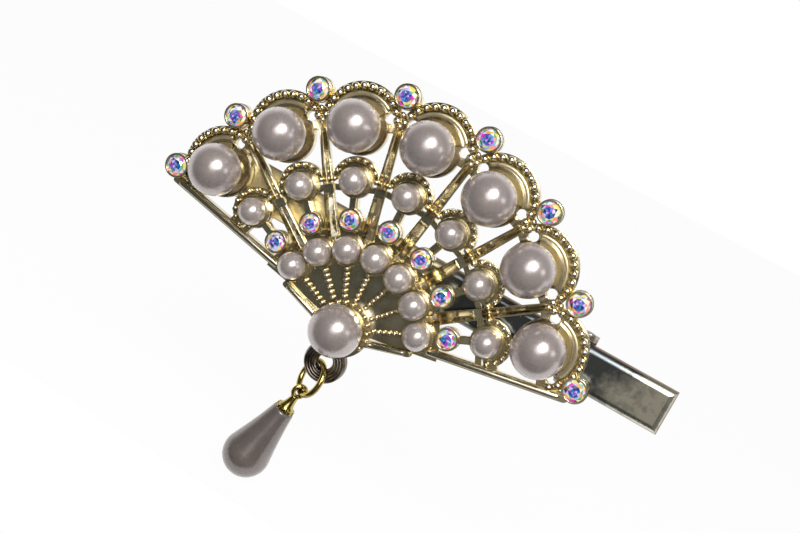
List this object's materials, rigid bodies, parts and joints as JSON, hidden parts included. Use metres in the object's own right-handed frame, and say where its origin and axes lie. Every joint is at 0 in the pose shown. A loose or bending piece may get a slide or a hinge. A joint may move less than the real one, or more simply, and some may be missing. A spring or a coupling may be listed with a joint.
{
  "type": "barrette",
  "caption": "Fan-shaped dress barrette: openwork gold fan set with pearls and stones on a sprung two-armed hair clip, with a hanging pearl drop.",
  "frame": {"origin": "the middle of the clip's grip: behind the fan's middle, on the clip's centre line, halfway between the upper strip and the lower arm's edges", "axes": "+Z from the pivot to the middle of the fan's rim, +X along the clip towards its levers, face towards -Y"},
  "size_m": [0.0802, 0.0161, 0.063],
  "materials": {
    "gold_casting": "polished gold plate",
    "gold_strip": "polished gold plate",
    "gold_wire": "polished gold plate",
    "dark_metal": "dark antiqued plate",
    "pearl": "pearl lacquer",
    "drop_pearl": "grey pearl lacquer",
    "stone": "rainbow-coated cut glass",
    "spring_steel": "bright wire",
    "glue": "set glue"
  },
  "bodies": {
    "fan": {"fan_casting": "gold_casting", "rim_pearl_1": "pearl", "rim_pearl_2": "pearl", "rim_pearl_3": "pearl", "rim_pearl_4": "pearl", "rim_pearl_5": "pearl", "rim_pearl_6": "pearl", "rim_pearl_7": "pearl", "middle_pearl_1": "pearl", "middle_pearl_2": "pearl", "middle_pearl_3": "pearl", "middle_pearl_4": "pearl", "middle_pearl_5": "pearl", "middle_pearl_6": "pearl", "middle_pearl_7": "pearl", "inner_pearl_1": "pearl", "inner_pearl_2": "pearl", "inner_pearl_3": "pearl", "inner_pearl_4": "pearl", "inner_pearl_5": "pearl", "inner_pearl_6": "pearl", "inner_pearl_7": "pearl", "pivot_pearl": "pearl", "outer_stone_1": "stone", "outer_stone_2": "stone", "outer_stone_3": "stone", "outer_stone_4": "stone", "outer_stone_5": "stone", "outer_stone_6": "stone", "outer_stone_7": "stone", "outer_stone_8": "stone", "inner_stone_1": "stone", "inner_stone_2": "stone", "inner_stone_3": "stone", "inner_stone_4": "stone", "inner_stone_5": "stone", "inner_stone_6": "stone", "inner_stone_7": "stone", "pendant_loop": "dark_metal", "clip_strip": "gold_strip", "hinge_pin": "gold_wire", "torsion_spring": "spring_steel", "glue_pads": "glue"},
    "lower_arm": {"lower_arm": "gold_strip"},
    "ring": {"jump_ring": "gold_wire"},
    "drop": {"drop_cap": "gold_wire", "drop_pearl": "drop_pearl"}
  },
  "joints": [
    {"name": "jaw_hinge", "type": "hinge", "parent": "fan", "child": "lower_arm", "pos_m": [0.031, 0.00144, 0], "axis": [0, 0, -1], "range_deg": [0, 20], "stiffness_Nm_per_rad": 0.03, "springref_deg": -68.75, "deforming": ["torsion_spring"]},
    {"name": "ring_swing", "type": "hinge", "parent": "fan", "child": "ring", "pos_m": [0, -0.00211, -0.0176], "axis": [0, 1, 0], "range_deg": [-48, 22]},
    {"name": "drop_swing", "type": "hinge", "parent": "ring", "child": "drop", "pos_m": [-0.00138, -0.00211, -0.02344], "axis": [0.6637, -0.7314, -0.1569], "range_deg": [-35, 35]}
  ]
}
